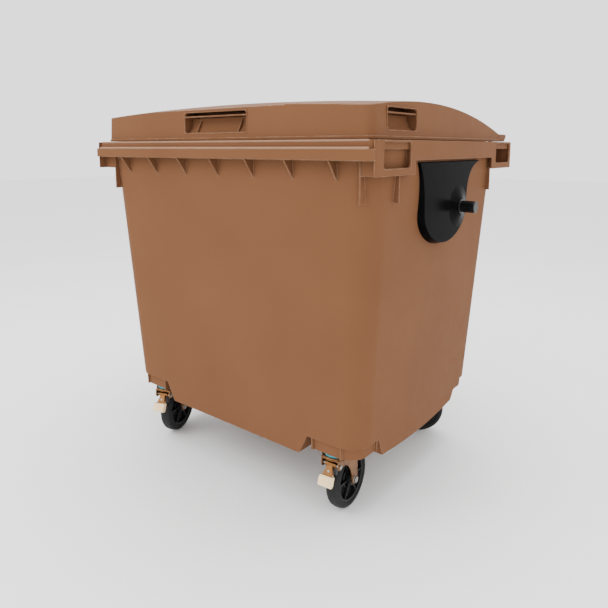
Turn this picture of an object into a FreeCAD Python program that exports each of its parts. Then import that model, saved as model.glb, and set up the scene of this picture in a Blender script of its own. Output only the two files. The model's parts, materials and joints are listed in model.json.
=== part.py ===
"""Four-wheeled waste container of about 1100 litres: a tapered plastic tub with a comb rim, a crowned
lid hinged along the rear, trunnions at both ends and four swivel castors, the front two with brakes.

Row frame: millimetres, +Z up, -Y is the front, and the origin is on the floor under the centre.
"""
import FreeCAD, Part
import os
from math import cos, sin, pi, radians, sqrt

V = FreeCAD.Vector
X_AXIS, Y_AXIS, Z_AXIS = V(1, 0, 0), V(0, 1, 0), V(0, 0, 1)
SIDES = (("left", -1), ("right", 1))

doc = FreeCAD.newDocument("wheelie_bin")

# ---------------------------------------------------------------- driving dimensions
DIMENSIONS = {
    # whole container
    "trunnion_span": 1370, "rim_width": 1270, "rim_front": 512.5, "rim_rear": 510.5, "comb_front": 525,
    "rim_top": 1210, "rim_flange": 6, "band_bottom": 1152, "band_wall": 5, "rim_corner": 22,
    # tub wall: half width, front and rear at the datum height, and how much each leans out per mm
    "datum_height": 692, "tub_half_width": 576.4, "tub_front": 460.3, "tub_rear": 401.5,
    "side_lean": 0.081, "front_lean": 0.042, "rear_lean": 0.014, "tub_corner": 75, "wall": 5,
    "skirt_bottom": 200, "skirt_dip": 16, "floor_under": 270, "floor_thickness": 6,
    # rim comb, its gussets and the grip pockets at the corners
    "comb_bottom": 1154, "comb_ledge": 1185, "gusset_pitch": 160.9, "gusset_tip": 1090, "rib_wall": 4.5,
    "grip_bottom": 1111, "grip_front_length": 222, "grip_rear_length": 202, "fin_bottom": 1032,
    # castor housings under the corners
    "housing_x": 172, "housing_y": 118, "housing_bottom": 230, "housing_inset": 8, "deck_bottom": 235,
    "deck_thickness": 8, "notch_x": 222, "notch_y": 157, "notch_slope": 36,
    # lid
    "lid_half_width": 606, "lid_front": 491, "lid_rear": 452, "lid_bottom": 1212.5, "lid_wall": 4,
    "lid_crest": 1346, "lid_crest_y": -157, "lid_side_arc": 2200, "lid_crown_arc": 9000, "lid_draft": 8,
    "ledge_top": 1240, "hinge_y": 517, "hinge_z": 1232, "hinge_pin_radius": 4, "hinge_barrel": 8,
    # trunnions
    "trunnion_y": 45.5, "trunnion_z": 991, "trunnion_radius": 20, "trunnion_length": 50,
    # castors
    "swivel_x": 425, "swivel_front": 384, "swivel_rear": 339, "wheel_radius": 100, "tyre_width": 48,
    "tread_radius": 14, "rim_radius": 78, "trail": 66, "plate_length": 104, "plate_width": 84,
    "plate_thickness": 4, "bolt_x": 80, "bolt_y": 60, "race_radius": 36, "race_height": 9,
    "seal_radius": 39, "seal_height": 6, "axle_radius": 6, "sleeve_radius": 10, "fork_gap": 58,
    "fork_sheet": 4, "crown_radius": 43, "crown_top": 215.5,
    # drain
    "drain_y": -330, "drain_radius": 25, "plug_flange": 34,
}
dims = doc.addObject("Spreadsheet::Sheet", "dims")
for row, (alias, value) in enumerate(DIMENSIONS.items(), start=1):
    dims.set(f"A{row}", alias)
    dims.set(f"B{row}", str(value))
    dims.setAlias(f"B{row}", alias)
doc.recompute()


def size(alias):
    """A driving dimension, read back from the sheet."""
    return float(dims.get(alias))


WALL = size("wall")
RIM_X = size("rim_width") / 2
RIM_TOP = size("rim_top")
FLOOR_TOP = size("floor_under") + size("floor_thickness")
subparts = []


# ---------------------------------------------------------------- shape helpers
def box(x0, x1, y0, y1, z0, z1):
    low = V(min(x0, x1), min(y0, y1), min(z0, z1))
    return Part.makeBox(abs(x1 - x0), abs(y1 - y0), abs(z1 - z0), low)


def join(shapes):
    first, *rest = shapes
    return first.fuse(rest) if rest else first


def rounded_rectangle(x0, x1, y0, y1, radius, z):
    """Closed wire at height z, with four equal corner arcs."""
    edges = []
    corners = [(x1 - radius, y1 - radius, 0), (x0 + radius, y1 - radius, 90),
               (x0 + radius, y0 + radius, 180), (x1 - radius, y0 + radius, 270)]
    last = None
    for cx, cy, start in corners:
        a, m, b = (V(cx + radius * cos(radians(start + d)), cy + radius * sin(radians(start + d)), z)
                   for d in (0, 45, 90))
        if last is not None:
            edges.append(Part.LineSegment(last, a).toShape())
        else:
            first = a
        edges.append(Part.Arc(a, m, b).toShape())
        last = b
    edges.append(Part.LineSegment(last, first).toShape())
    return Part.Wire(edges)


def prism(x0, x1, y0, y1, radius, z0, z1):
    return Part.Face(rounded_rectangle(x0, x1, y0, y1, radius, z0)).extrude(V(0, 0, z1 - z0))


def side_plate(points, x0, x1):
    """A plate whose outline is drawn in Y and Z, from x0 to x1."""
    outline = [V(x0, y, z) for y, z in points]
    return Part.Face(Part.makePolygon(outline + outline[:1])).extrude(V(x1 - x0, 0, 0))


def upright_plate(points, y0, y1):
    """A plate whose outline is drawn in X and Z, from y0 to y1."""
    outline = [V(x, y0, z) for x, z in points]
    return Part.Face(Part.makePolygon(outline + outline[:1])).extrude(V(0, y1 - y0, 0))


def revolved(points, axis_point, axis, degrees=360):
    return Part.Face(Part.makePolygon(points + points[:1])).revolve(axis_point, axis, degrees)


def hexagon(across_flats, height, centre, axis):
    """Hexagon prism along an axis, standing on its centre."""
    corner = across_flats / sqrt(3)
    points = [V(corner * cos(radians(60 * i)), corner * sin(radians(60 * i)), 0) for i in range(7)]
    solid = Part.Face(Part.makePolygon(points)).extrude(V(0, 0, height))
    solid.Placement = FreeCAD.Placement(centre, FreeCAD.Rotation(Z_AXIS, axis))
    return solid


# ---------------------------------------------------------------- document helpers
def place(obj, label, placement=None):
    """Names a sub-part, puts it in place and lists it for export."""
    obj.Label = label
    obj.Placement = placement or FreeCAD.Placement()
    subparts.append(obj)
    return obj


def feature(label, shape, placement=None):
    """A sub-part whose shape is worked out here."""
    obj = doc.addObject("Part::Feature", label + "_shape")
    obj.Shape = shape
    return place(obj, label, placement)


def primitive(kind, name, **expressions):
    obj = doc.addObject(kind, name)
    for prop, expression in expressions.items():
        obj.setExpression(prop, expression)
    return obj


def pipe(label, outer, inner, length, placement):
    """A plain tube as one cylinder cut by another, both bound to the sheet."""
    tool_length = f"({length}) * 3"
    body = primitive("Part::Cylinder", label + "_outer", Radius=outer, Height=length)
    bore = primitive("Part::Cylinder", label + "_bore", Radius=inner, Height=tool_length)
    bore.setExpression("Placement.Base.z", f"-({length})")
    cut = doc.addObject("Part::Cut", label + "_cut")
    cut.Base, cut.Tool = body, bore
    return place(cut, label, placement)


def origin_plane(body, role):
    return [f for f in body.Origin.OriginFeatures if f.Role == role][0]


def rectangle_sketch(body, name, plane, low, high, expressions):
    """A rectangle tied to the origin: expressions give its left, right, bottom and top distances."""
    import Sketcher
    sketch = body.newObject("Sketcher::SketchObject", name)
    sketch.AttachmentSupport = [(origin_plane(body, plane), "")]
    sketch.MapMode = "FlatFace"
    corners = [V(low[0], low[1]), V(high[0], low[1]), V(high[0], high[1]), V(low[0], high[1])]
    for i in range(4):
        sketch.addGeometry(Part.LineSegment(corners[i], corners[(i + 1) % 4]), False)
    for i in range(4):
        sketch.addConstraint(Sketcher.Constraint("Coincident", i, 2, (i + 1) % 4, 1))
    for i, kind in enumerate(("Horizontal", "Vertical", "Horizontal", "Vertical")):
        sketch.addConstraint(Sketcher.Constraint(kind, i))
    places = [("DistanceX", 0, 1, low[0]), ("DistanceX", 1, 1, high[0]),
              ("DistanceY", 0, 1, low[1]), ("DistanceY", 2, 1, high[1])]
    for (kind, line, end, value), expression in zip(places, expressions):
        index = sketch.addConstraint(Sketcher.Constraint(kind, -1, 1, line, end, value))
        sketch.setExpression(f"Constraints[{index}]", expression)
    return sketch


# ---------------------------------------------------------------- tub
def tub_section(z, inset=0):
    """Half width, front and rear of the tub's outer wall at height z, moved in by an inset."""
    rise = z - size("datum_height")
    return (size("tub_half_width") + size("side_lean") * rise - inset,
            -size("tub_front") - size("front_lean") * rise + inset,
            size("tub_rear") + size("rear_lean") * rise - inset)


def tub_loft(z0, z1, inset=0):
    """The tub's tapered block between two heights."""
    wires = []
    for z in (z0, z1):
        half, front, rear = tub_section(z, inset)
        wires.append(rounded_rectangle(-half, half, front, rear, size("tub_corner") - inset, z))
    return Part.makeLoft(wires, True, True)


def corner_frustum(sx, sy, grow):
    """The space that one castor swings in, cut out of the skirt with sloping sides."""
    top, bottom = size("floor_under"), size("skirt_bottom") - 40
    half, front, rear = tub_section(size("skirt_bottom"))
    wall_y = rear if sy > 0 else front
    wires = []
    for z in (bottom, top):
        slope = size("notch_slope") * (z - size("skirt_bottom")) / (top - size("skirt_bottom"))
        x = sx * (half - size("notch_x") + slope - grow)
        y = wall_y - sy * (size("notch_y") - slope + grow)
        xs, ys = sorted((x, sx * 800)), sorted((y, sy * 700))
        corners = [V(xs[0], ys[0], z), V(xs[1], ys[0], z), V(xs[1], ys[1], z), V(xs[0], ys[1], z)]
        wires.append(Part.makePolygon(corners + corners[:1]))
    return Part.makeLoft(wires, True, True)


def castor_housing(sx, sy):
    """Recessed walls, deck and flush ribs that a castor's plate bolts up into."""
    z0, z1 = size("housing_bottom"), size("floor_under")
    half, front, rear = tub_section(z0)
    wall_y = rear if sy > 0 else front
    x_in, y_in = sx * (half - size("housing_x")), wall_y - sy * size("housing_y")
    zone = box(x_in, sx * 700, y_in, sy * 600, z0, z1)
    inset = size("housing_inset")
    wall_line = tub_loft(z0 - 5, z1 + 5, inset)
    inside = tub_loft(z0 - 5, z1 + 5, inset + WALL)
    outer_walls = wall_line.cut(inside).common(zone)
    inner_walls = [box(x_in, x_in + sx * WALL, y_in, sy * 600, z0, z1).common(wall_line),
                   box(x_in, sx * 700, y_in, y_in + sy * WALL, z0, z1).common(wall_line)]
    deck_zone = box(x_in, sx * 700, y_in, sy * 600, size("deck_bottom"),
                    size("deck_bottom") + size("deck_thickness"))
    deck = wall_line.common(deck_zone)
    cx, cy = swivel_centre(sx, sy)
    holes = [Part.makeCylinder(5.5, 30, V(cx + i * size("bolt_x") / 2, cy + j * size("bolt_y") / 2, 225))
             for i in (-1, 1) for j in (-1, 1)]
    holes.append(Part.makeCylinder(18, 30, V(cx, cy, 225)))
    deck = deck.cut(holes)
    skin = tub_loft(z0 - 5, z1 + 5).cut(wall_line)
    rib = size("rib_wall")
    ribs = [skin.common(box(x_in, x_in + sx * rib, sy * 300, sy * 600, z0, z1)),
            skin.common(box(sx * (half - 62), sx * (half - 62 + rib), sy * 300, sy * 600, z0, z1)),
            skin.common(box(sx * (half - 22), sx * 700, sy * 300, sy * 600, z0, z1)).common(
                box(sx * (half - 40), sx * 700, y_in, y_in + sy * rib, z0, z1))]
    return [outer_walls, deck] + inner_walls + ribs


def swivel_centre(sx, sy):
    return sx * size("swivel_x"), size("swivel_rear") if sy > 0 else -size("swivel_front")


def skirt_and_floor():
    """The tapered wall from the skirt to the rim, with the floor set up inside it."""
    low = size("skirt_bottom") - size("skirt_dip")
    wall = tub_loft(low, RIM_TOP - 1).cut([tub_loft(FLOOR_TOP, RIM_TOP + 5, WALL),
                                           tub_loft(low - 5, size("floor_under"), WALL)])
    # the skirt dips in a shallow arc under each end wall and is level elsewhere
    below = box(-700, 700, -600, 600, low - 5, size("skirt_bottom"))
    span, dip = 250, size("skirt_dip")
    radius = (span ** 2 + dip ** 2) / (2 * dip)
    _, front, rear = tub_section(low)
    middle = (front + rear) / 2
    for _, side in SIDES:
        arc = Part.makeCylinder(radius, 260, V(0, middle, low + radius), X_AXIS)
        arc.translate(V(side * 570 - 130, 0, 0))
        below = below.cut(arc)
    return wall.cut(below)


def underside_ribs():
    top, bottom = size("floor_under") + 1, 228
    half = size("rib_wall") / 2
    inside = tub_loft(bottom, top, WALL - 1)
    ribs = [box(-600, 600, y - half, y + half, bottom, top) for y in (-215, -20, 170)]
    ribs += [box(x - half, x + half, -520, 520, bottom, top) for x in (-290, -120, 120, 290)]
    return [rib.common(inside) for rib in ribs]


def comb():
    """The stepped lifting edge along the front: a ledge, a drop and triangular gussets below."""
    front, ledge, bottom = -size("comb_front"), size("comb_ledge"), size("comb_bottom")
    wall = size("band_wall")
    pieces = [box(-RIM_X + 1, RIM_X - 1, front, front + wall, bottom, ledge),
              box(-RIM_X + 1, RIM_X - 1, front, -size("rim_front") + 2, ledge - wall, ledge)]
    for end in (-RIM_X + 1, RIM_X - 1 - wall):
        pieces.append(box(end, end + wall, front, -size("rim_front") + 2, bottom, ledge))
    half_rib = size("rib_wall") / 2
    for i in range(-3, 4):
        x = i * size("gusset_pitch")
        tip = size("gusset_tip")
        outline = [(front + 4, bottom), (front + 4, ledge - 2), (tub_section(ledge)[1] + 2, ledge - 2),
                   (tub_section(tip)[1] + 2, tip)]
        pieces.append(side_plate(outline, x - half_rib, x + half_rib))
    for i in (-2, -1, 0, 1, 2):
        x = i * size("gusset_pitch")
        outline = [(size("rim_rear") - 3, size("band_bottom")), (size("rim_rear") - 3, RIM_TOP - 5),
                   (tub_section(1200)[2] - 2, RIM_TOP - 5), (tub_section(1060)[2] - 2, 1060)]
        pieces.append(side_plate(outline, x - half_rib, x + half_rib))
    return pieces


def rim_ring():
    """Flat flange with a band hanging from its outer edge."""
    rear, front, radius = size("rim_rear"), -size("rim_front"), size("rim_corner")
    wall, bottom = size("band_wall"), size("band_bottom")
    flange = prism(-RIM_X, RIM_X, front, rear, radius, RIM_TOP - size("rim_flange"), RIM_TOP)
    flange = flange.cut(prism(-594, 594, -468, 390, 60, RIM_TOP - 20, RIM_TOP + 20))
    band = prism(-RIM_X, RIM_X, front, rear, radius, bottom, RIM_TOP)
    band = band.cut(prism(-RIM_X + wall, RIM_X - wall, front + wall, rear - wall, radius - wall,
                          bottom - 5, RIM_TOP + 5))
    return [flange, band]


def grip_pocket(side, sy):
    """Open box at one corner of the rim, with a window in its outer face for pulling the bin."""
    bottom, wall = size("grip_bottom"), size("band_wall")
    if sy < 0:
        y0, y1 = -size("rim_front") - 7, -size("rim_front") - 7 + size("grip_front_length")
        window = (y0 + 44, y1 - 27)
    else:
        y0, y1 = size("rim_rear") - size("grip_rear_length"), size("rim_rear")
        window = (y0 + 37, y1 - 20)
    corner = prism(-RIM_X, RIM_X, -600 if sy > 0 else y0, y1 if sy > 0 else 600, 8, bottom, RIM_TOP - 1)
    zone = box(side * 566, side * 700, y0, y1, bottom, RIM_TOP)
    inner = box(side * 500, side * (RIM_X - wall), y0 - 10, y1 + 10, bottom - 5, RIM_TOP + 5)
    side_wall = corner.common(zone).cut(inner)
    lower, upper = window[0] - 6, window[1] + 6
    cross_walls = [box(side * 566, side * (RIM_X - 1), y, y + wall, bottom, RIM_TOP - 1) for y in (lower - wall, upper)]
    base = box(side * 566, side * (RIM_X - 1), lower - 1, upper + 1, bottom, bottom + wall)
    lintel = box(side * 622, side * 627, lower - 1, upper + 1, 1184, RIM_TOP - 5)
    opening = box(side * (RIM_X - wall - 1), side * (RIM_X + 5), window[0], window[1], bottom + 20,
                  RIM_TOP - 5)
    keep_clear = tub_loft(bottom - 10, RIM_TOP + 5, WALL)
    walls = side_wall.fuse(cross_walls + [base, lintel])
    return walls.cut([opening, keep_clear]), opening


def corner_fins(side, sy):
    """Two thin upright fins under each grip pocket."""
    half, low, high = size("rib_wall") / 2, size("fin_bottom"), size("grip_bottom") + 4
    wall = tub_section(low)[2 if sy > 0 else 1]
    fins = [box(side * (568 - half), side * (568 + half), wall - sy * 40, wall + sy * 15, low,
                size("comb_bottom") + 1)]
    y = 322 if sy > 0 else -367
    fins.append(box(side * 595, side * 623, y - half, y + half, low, high))
    return [fin.cut(tub_loft(low - 5, RIM_TOP, 1.5)) for fin in fins]


LUG_X = (290, 510)
LUG_WIDTH = 20


def hinge_lug(x):
    """Body half of a hinge: a lug that leans back from the rim to carry the pin."""
    y, z, radius = size("hinge_y"), size("hinge_z"), size("hinge_barrel")
    outline = [(476, RIM_TOP - 2), (507, RIM_TOP - 2), (y + radius - 1, z - 3), (y, z),
               (y - 5, z + 6), (493, RIM_TOP + 12)]
    arm = side_plate(outline, x, x + LUG_WIDTH)
    eye = Part.makeCylinder(radius, LUG_WIDTH, V(x, y, z), X_AXIS)
    hole = Part.makeCylinder(size("hinge_pin_radius"), 2 * LUG_WIDTH, V(x - 10, y, z), X_AXIS)
    return arm.fuse(eye).cut(hole)


def make_tub():
    pieces = [skirt_and_floor()]
    notches = [corner_frustum(sx, sy, 0) for sx in (-1, 1) for sy in (-1, 1)]
    floor_slab = size("floor_under")
    under = tub_loft(size("skirt_bottom"), floor_slab)
    pieces[0] = pieces[0].cut(notches)
    ribs = join(underside_ribs()).cut(notches)
    pieces.append(ribs)
    for sx in (-1, 1):
        for sy in (-1, 1):
            returns = corner_frustum(sx, sy, WALL).cut(corner_frustum(sx, sy, 0)).common(under)
            pieces.append(returns)
            pieces += castor_housing(sx, sy)
    pieces += rim_ring() + comb()
    windows = []
    for _, side in SIDES:
        for sy in (-1, 1):
            pocket, opening = grip_pocket(side, sy)
            pieces.append(pocket)
            windows.append(opening)
            pieces += corner_fins(side, sy)
    for x in LUG_X:
        pieces += [hinge_lug(x), hinge_lug(-x - LUG_WIDTH)]
    drain_y, radius = size("drain_y"), size("drain_radius")
    pieces.append(Part.makeCylinder(radius + 7, 20, V(0, drain_y, floor_slab - 16)))
    tub = join(pieces).cut(windows + [Part.makeCylinder(radius, 60, V(0, drain_y, floor_slab - 40))])
    for label, _ in SIDES:
        tub = tub.cut(trunnion_screw_holes(label))
    return tub.removeSplitter()


# ---------------------------------------------------------------- trunnions
SCREW_SPOTS = ((-165, 1108), (-160, 985), (78, 1108), (-50, 905))
PLATE_X = 622


def trunnion_screw_holes(label):
    side = dict(SIDES)[label]
    return [Part.makeCylinder(3, 60, V(side * 570, y, z), X_AXIS * side) for y, z in SCREW_SPOTS]


def trunnion_outline(x, inset=0):
    """U-shaped outline in Y and Z at a given x: flared at the top and round at the bottom."""
    top, mid_z = 1150 - inset, 985
    y0, y1 = -212 + inset, 118 - inset
    centre = (y0 + y1) / 2
    low = 873 + inset
    left_top, right_top = V(x, y0 - 36, top), V(x, y1 + 106, top)
    left, right, bottom = V(x, y0, mid_z), V(x, y1, mid_z), V(x, centre, low)

    def curve(*points):
        line = Part.BezierCurve()
        line.setPoles([V(x, p[0], p[1]) for p in points])
        return line.toShape()
    return Part.Wire([
        Part.LineSegment(left_top, right_top).toShape(),
        curve((right_top.y, top), (y1 + 22, top - 20), (y1, 1080), (y1, mid_z)),
        curve((y1, mid_z), (y1 - 4, 925), (centre + 70, low), (centre, low)),
        curve((centre, low), (centre - 80, low), (y0 + 4, 925), (y0, mid_z)),
        curve((y0, mid_z), (y0, 1060), (y0 - 8, 1100), (left_top.y, top)),
    ])


def trunnion_cone():
    """Concave swelling of the boss around its pin, along X."""
    low, high = PLATE_X - 2, PLATE_X + 11
    foot, waist, neck = V(low, 100, 0), V(PLATE_X + 4.1, 50, 0), V(high, 27, 0)
    rim = Part.Arc(foot, waist, neck).toShape()
    inside = Part.makePolygon([neck, V(high, 0, 0), V(low, 0, 0), foot])
    return Part.Face(Part.Wire([rim] + inside.Edges)).revolve(V(0, 0, 0), X_AXIS, 360)


def trunnion_plate(label, side):
    """Hollow moulded boss with drafted sides, swelling in a concave cone towards the pin."""
    def block(outer_x, inset):
        wires = [trunnion_outline(side * x, i) for x, i in ((outer_x - 45, inset - 4), (outer_x, inset + 7))]
        return Part.makeLoft(wires, True, True)

    y, z = size("trunnion_y"), size("trunnion_z")
    outside = box(side * 560, side * 760, -400, 400, 820, 1200).cut(tub_loft(800, 1240, -0.3))
    cone = trunnion_cone()
    cone.Placement = FreeCAD.Placement(V(0, y, z), FreeCAD.Rotation(Z_AXIS, 0 if side > 0 else 180))
    edge = Part.Face(trunnion_outline(side * (PLATE_X + 20), 7)).extrude(V(-side * 30, 0, 0))
    boss = block(PLATE_X, 0).fuse(cone.common(edge)).common(outside).cut(block(PLATE_X - 5, 5))
    posts = [Part.makeCylinder(9, 42, V(side * (PLATE_X - 44), sy, sz), X_AXIS * side).common(outside)
             for sy, sz in SCREW_SPOTS]
    clear = [Part.makeCylinder(3.1, 36, V(side * (PLATE_X - 46), sy, sz), X_AXIS * side)
             for sy, sz in SCREW_SPOTS]
    clear.append(Part.makeCylinder(size("trunnion_radius") + 0.2, 90, V(side * 580, y, z), X_AXIS * side))
    clear.append(Part.makeCylinder(32, 9, V(side * 601, y, z), X_AXIS * side))
    feature(f"{label}_trunnion_plate", boss.fuse(posts).cut(clear))


def trunnion_pin(label, side):
    """Steel journal with a plastic sleeve, held by a disc behind the plate."""
    y, z, radius = size("trunnion_y"), size("trunnion_z"), size("trunnion_radius")
    tip = size("trunnion_span") / 2
    root = 604
    points = [V(root, 0, 0), V(root, 30, 0), V(root + 5, 30, 0), V(root + 5, radius, 0),
              V(tip - 2, radius, 0), V(tip, radius - 2, 0), V(tip, 0, 0)]
    pin = revolved(points, V(0, 0, 0), X_AXIS)
    bare = tip - size("trunnion_length")
    collar = revolved([V(bare - 1.9, 19.9, 0), V(bare - 1.9, 24, 0), V(bare, 24, 0), V(bare, 19.9, 0)],
                      V(0, 0, 0), X_AXIS)
    pin = pin.fuse(collar)
    turn = FreeCAD.Rotation(Z_AXIS, 0 if side > 0 else 180)
    feature(f"{label}_trunnion_pin", pin, FreeCAD.Placement(V(0, y, z), turn))


def trunnion_screws(label, side):
    """Screws driven from inside the tub into the plate's posts."""
    screws = []
    for y, z in SCREW_SPOTS:
        seat = tub_section(z, WALL)[0] - 0.9
        head = hexagon(13, 5, V(side * seat, y, z), X_AXIS * -side)
        washer = Part.makeCylinder(8.5, 1.5, V(side * seat, y, z), X_AXIS * -side)
        shank = Part.makeCylinder(2.9, PLATE_X - 14 - seat, V(side * seat, y, z), X_AXIS * side)
        screws.append(head.fuse([shank, washer]))
    feature(f"{label}_trunnion_screws", Part.makeCompound(screws))


# ---------------------------------------------------------------- lid
def crown(drop, rear, front):
    """Domed block: the side arc turned about a line far below, so the top falls to both sides."""
    crest, crest_y, arc = size("lid_crest") - drop, size("lid_crest_y"), size("lid_side_arc") - drop
    ys = [front, (front + crest_y) / 2, crest_y, (crest_y + rear) / 2, rear]

    def top(y):
        return crest - arc + sqrt(arc ** 2 - (y - crest_y) ** 2)
    base = size("lid_bottom") - 60
    arc_edge = Part.Arc(V(0, ys[0], top(ys[0])), V(0, ys[2], top(ys[2])), V(0, ys[4], top(ys[4]))).toShape()
    wire = Part.Wire([arc_edge,
                      Part.LineSegment(V(0, rear, top(rear)), V(0, rear, base)).toShape(),
                      Part.LineSegment(V(0, rear, base), V(0, front, base)).toShape(),
                      Part.LineSegment(V(0, front, base), V(0, front, top(front))).toShape()])
    face = Part.Face(wire)
    centre = V(0, 0, crest - size("lid_crown_arc"))
    face.rotate(centre, Y_AXIS, -5)
    return face.revolve(centre, Y_AXIS, 10)


def lid_block(inset):
    """Drafted block of the lid's plan, rounded at the front corners, square at the rear, domed on top."""
    half, front, rear = size("lid_half_width"), -size("lid_front"), size("lid_rear")
    z0, z1 = size("lid_bottom"), size("lid_crest") + 20
    wires = []
    for z, lean in ((z0 - (40 if inset else 0), 0), (z1, size("lid_draft"))):
        wires.append(rounded_rectangle(-half + lean + inset, half - lean - inset, front + lean / 2 + inset,
                                       rear + 60, 28 - inset, z))
    block = Part.makeLoft(wires, True, True).common(box(-700, 700, -700, rear - inset, z0 - 60, z1 + 5))
    return block.common(crown(inset, rear + 40, front - 40))


def grip_opening(y_or_x, half, z0, z1, depth, kind):
    """(liner block, clear space) of a handle pocket let into the lid's front or side wall."""
    wall = size("lid_wall")
    if kind == "front":
        liner = box(-half - wall, half + wall, y_or_x + 3, y_or_x + depth + wall, z0 - wall, z1 + wall)
        space = box(-half, half, y_or_x - 10, y_or_x + depth, z0, z1)
        return liner, space
    side = kind
    low, high = half
    liner = box(side * (y_or_x - 4), side * (y_or_x - depth - wall), low - wall, high + wall,
                z0 - wall, z1 + wall)
    space = box(side * (y_or_x + 10), side * (y_or_x - depth), low, high, z0, z1)
    return liner, space


def make_lid():
    wall, front, half = size("lid_wall"), -size("lid_front"), size("lid_half_width")
    bottom = size("lid_bottom")
    outer, inner = lid_block(0), lid_block(wall)
    # shallow ramp along the middle of the front edge, above the handle
    def ramp(drop):
        outline = [(front - 20, 1309 - drop), (front + 85, 1331 - drop), (front + 85, 1400), (front - 20, 1400)]
        return side_plate(outline, -301 - drop, 301 + drop)
    outer = outer.cut(ramp(0))
    inner = inner.cut(ramp(wall))
    bead = prism(-half - 2.5, half + 2.5, front - 2.5, 600, 30, bottom, bottom + 8)
    bead = bead.cut(prism(-half + 2, half - 2, front + 2, 620, 28, bottom - 2, bottom + 10))
    bead = bead.common(box(-700, 700, -700, size("lid_rear"), 1200, 1300))
    shell = outer.cut(inner)
    pockets = [grip_opening(front, 146, 1236, 1305, 62, "front")]
    pockets += [grip_opening(half, (-410, -237), 1237, 1301, 58, side) for _, side in SIDES]
    liners = [liner.common(outer) for liner, _ in pockets]
    spaces = [space for _, space in pockets]
    shell = shell.fuse(liners + [bead]).cut(spaces)
    bars = [box(-147, 147, front + 1, front + 62, 1289, 1293)]
    for x in (-98, 98):
        bars.append(side_plate([(front + 8, 1235), (front + 63, 1235), (front + 63, 1290), (front + 38, 1290)],
                               x - 2, x + 2))
    for _, side in SIDES:
        bars.append(box(side * (half - 4), side * (half - 59), -411, -236, 1284, 1288))
        bars.append(upright_plate([(side * (half - 12), 1236), (side * (half - 59), 1236),
                                   (side * (half - 59), 1285), (side * (half - 38), 1285)], -382, -378))
    shell = shell.fuse(bars)
    # rear ledge with the hinge barrels
    y, z, barrel = size("hinge_y"), size("hinge_z"), size("hinge_barrel")
    outline = [(size("lid_rear") - 3, bottom), (508, bottom), (y + barrel - 1.2, z - 4), (y, z),
               (y, z + barrel), (size("lid_rear") - 3, z + barrel)]
    ledge = side_plate(outline, -half, half).fuse(Part.makeCylinder(barrel, 2 * half, V(-half, y, z), X_AXIS))
    hollow = side_plate([(size("lid_rear") - 10, bottom - 5), (499, bottom - 5), (499, z + barrel - wall),
                         (size("lid_rear") - 10, z + barrel - wall)], -half + wall, half - wall)
    cross_walls = [box(x - 2, x + 2, size("lid_rear") - 2, 500, bottom, z + barrel - 1)
                   for x in (-560, -400, -200, 0, 200, 400, 560)]
    ledge = ledge.cut(hollow).fuse(cross_walls)
    lid = shell.fuse(ledge)
    tools = []
    for x in LUG_X:
        for start in (x, -x - LUG_WIDTH):
            tools.append(box(start - 1.5, start + LUG_WIDTH + 1.5, 488, 540, bottom - 10, z + 20))
    low, high = LUG_X[0] - 20, LUG_X[1] + LUG_WIDTH + 12
    for start in (low, -high):
        tools.append(Part.makeCylinder(size("hinge_pin_radius") + 0.1, high - low, V(start, y, z), X_AXIS))
    for _, side in SIDES:
        # the space outside each outer lug that takes the pin's head
        tools.append(box(side * (LUG_X[1] + LUG_WIDTH - 1), side * (LUG_X[1] + LUG_WIDTH + 14), 488, 540,
                         bottom - 10, z + 20))
    lid = lid.cut(tools)
    feature("lid", lid.removeSplitter())


def hinge_pins():
    y, z = size("hinge_y"), size("hinge_z")
    length = LUG_X[1] - LUG_X[0] + LUG_WIDTH + 4
    for label, side in SIDES:
        shaft = Part.makeCylinder(size("hinge_pin_radius"), length, V(LUG_X[0] - 3, 0, 0), X_AXIS)
        head = Part.makeCylinder(6.5, 4, V(LUG_X[1] + LUG_WIDTH + 0.5, 0, 0), X_AXIS)
        turn = FreeCAD.Rotation(Z_AXIS, 0 if side > 0 else 180)
        feature(f"{label}_hinge_pin", shaft.fuse(head), FreeCAD.Placement(V(0, y, z), turn))


def lid_buffers():
    """Soft pads under the lid's edge that land on the rim."""
    pads = [Part.makeCylinder(6, size("lid_bottom") - RIM_TOP + 20, V(x, y, RIM_TOP + 0.4))
            for x in (-597, 597) for y in (-300, 380)]
    pads = [pad.common(box(-602, 602, -600, 600, 1200, size("lid_bottom") - 0.05)) for pad in pads]
    feature("lid_buffers", Part.makeCompound(pads))


# ---------------------------------------------------------------- drain
def drain():
    y, radius = size("drain_y"), size("drain_radius")
    seat = size("floor_under") - 16
    points = [V(0, 0, seat - 10), V(size("plug_flange"), 0, seat - 10), V(size("plug_flange"), 0, seat - 3),
              V(radius - 0.3, 0, seat - 3), V(radius - 0.3, 0, FLOOR_TOP - 2), V(radius - 5, 0, FLOOR_TOP - 2),
              V(radius - 5, 0, seat), V(0, 0, seat)]
    plug = revolved(points, V(0, 0, 0), Z_AXIS)
    plug = plug.fuse(box(-20, 20, -3, 3, seat - 24, seat - 9))
    feature("drain_plug", plug, FreeCAD.Placement(V(0, y, 0), FreeCAD.Rotation()))
    pipe("drain_seal", "dims.plug_flange - 2", "dims.drain_radius + 0.2", "2.8",
         FreeCAD.Placement(V(0, y, seat - 2.9), FreeCAD.Rotation()))


# ---------------------------------------------------------------- castors
CASTORS = (  # name, side, front or rear, direction the wheel trails in
    ("front_left", -1, -1, 108), ("front_right", 1, -1, 94), ("rear_left", -1, 1, 62),
    ("rear_right", 1, 1, 210))


def castor_place(sx, sy, heading, rise=0.0):
    x, y = swivel_centre(sx, sy)
    return FreeCAD.Placement(V(x, y, rise), FreeCAD.Rotation(Z_AXIS, heading))


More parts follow.
